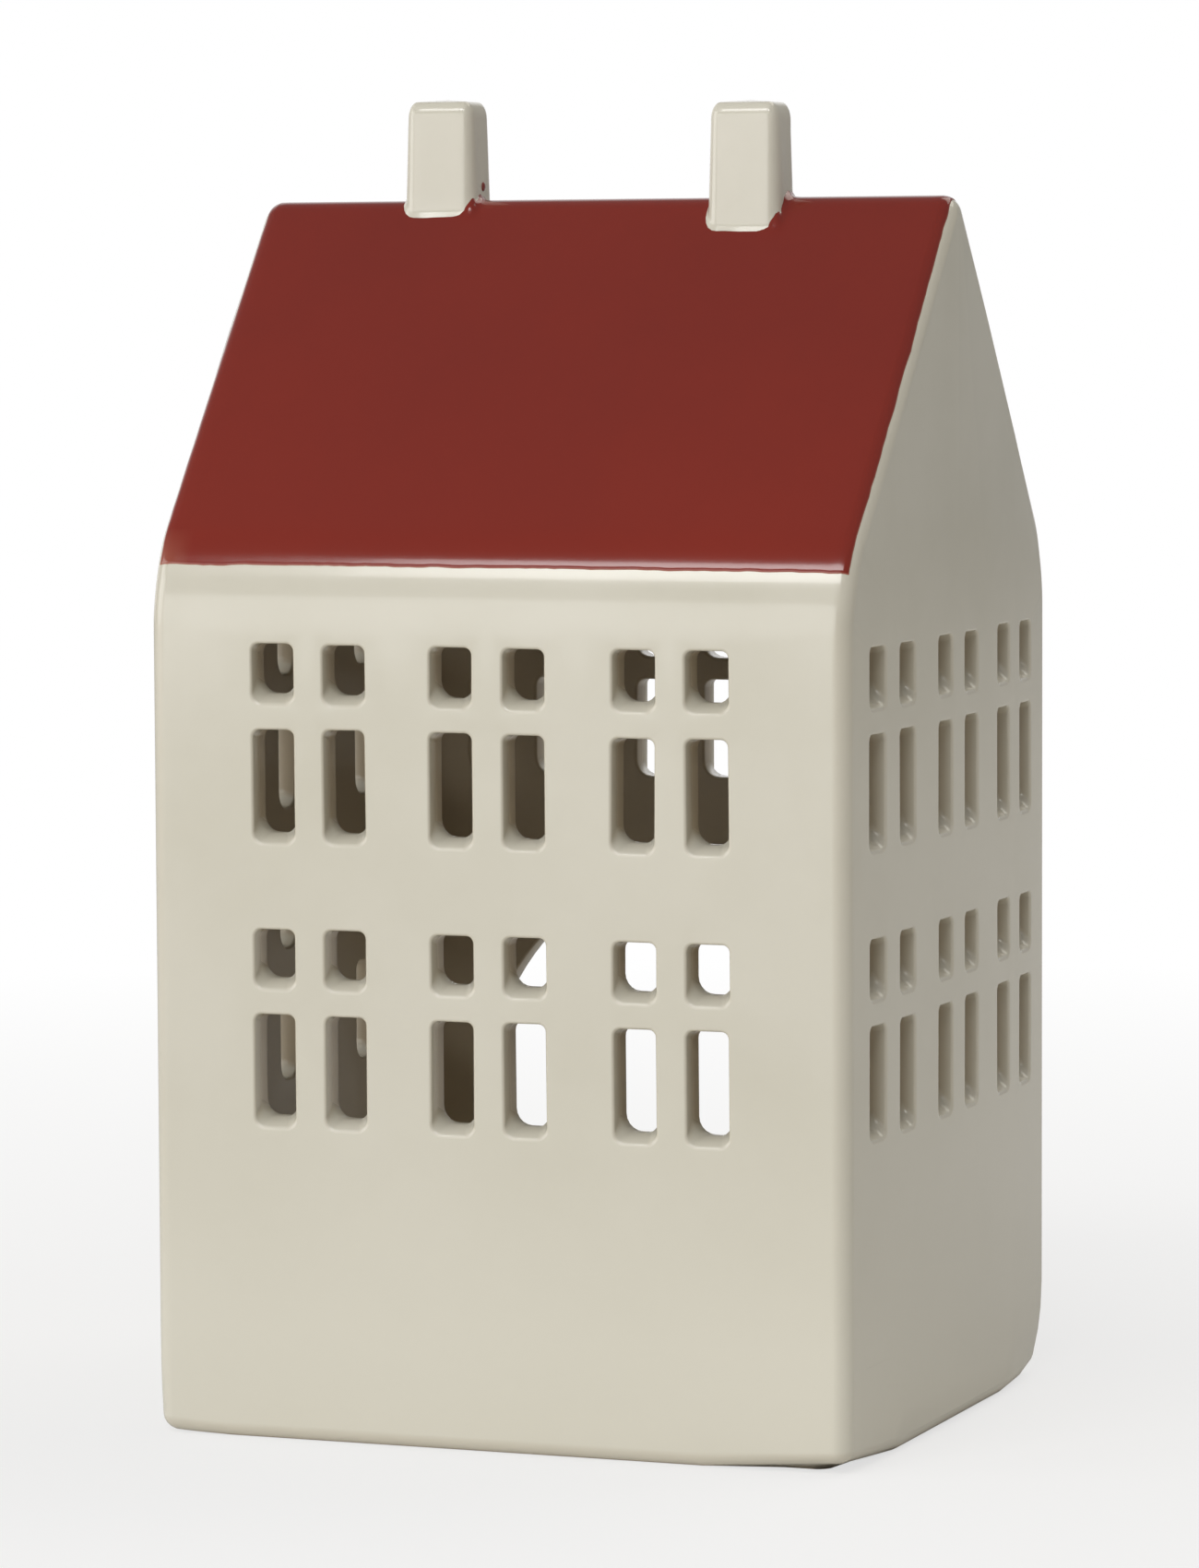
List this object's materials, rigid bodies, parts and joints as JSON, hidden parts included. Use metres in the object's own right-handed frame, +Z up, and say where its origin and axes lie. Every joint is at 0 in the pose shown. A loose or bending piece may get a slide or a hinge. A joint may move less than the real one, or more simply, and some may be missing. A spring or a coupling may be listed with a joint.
{
  "type": "tealight house",
  "caption": "Glazed ceramic town house with pierced windows, a red gabled roof and chimneys, lit from inside by a tealight that slides in through an arched rear hatch.",
  "frame": {"origin": "middle of the foot, on the surface that the house stands on", "axes": "+Z up, +X to the right along the windowed front, +Y to the back, where the hatch is"},
  "size_m": [0.0984, 0.0848, 0.175],
  "materials": {
    "white_glaze": "warm off-white gloss glaze over cast stoneware",
    "red_glaze": "deep brick-red gloss glaze",
    "cup_foil": "bright drawn foil",
    "wax": "satin white paraffin wax",
    "tinplate": "bright pressed tinplate",
    "wick_cotton": "waxed braided cotton"
  },
  "bodies": {
    "house": {"house_shell": "white_glaze", "floor_slab": "white_glaze", "left_chimney": "white_glaze", "right_chimney": "white_glaze", "roof_glaze": "red_glaze"},
    "tealight": {"tealight_cup": "cup_foil", "tealight_wax": "wax", "wick_sustainer": "tinplate", "wick": "wick_cotton"}
  },
  "joints": [
    {"name": "tealight_slide", "type": "slide", "parent": "house", "child": "tealight", "axis": [0, 1, 0], "range_m": [0, 0.075]}
  ]
}
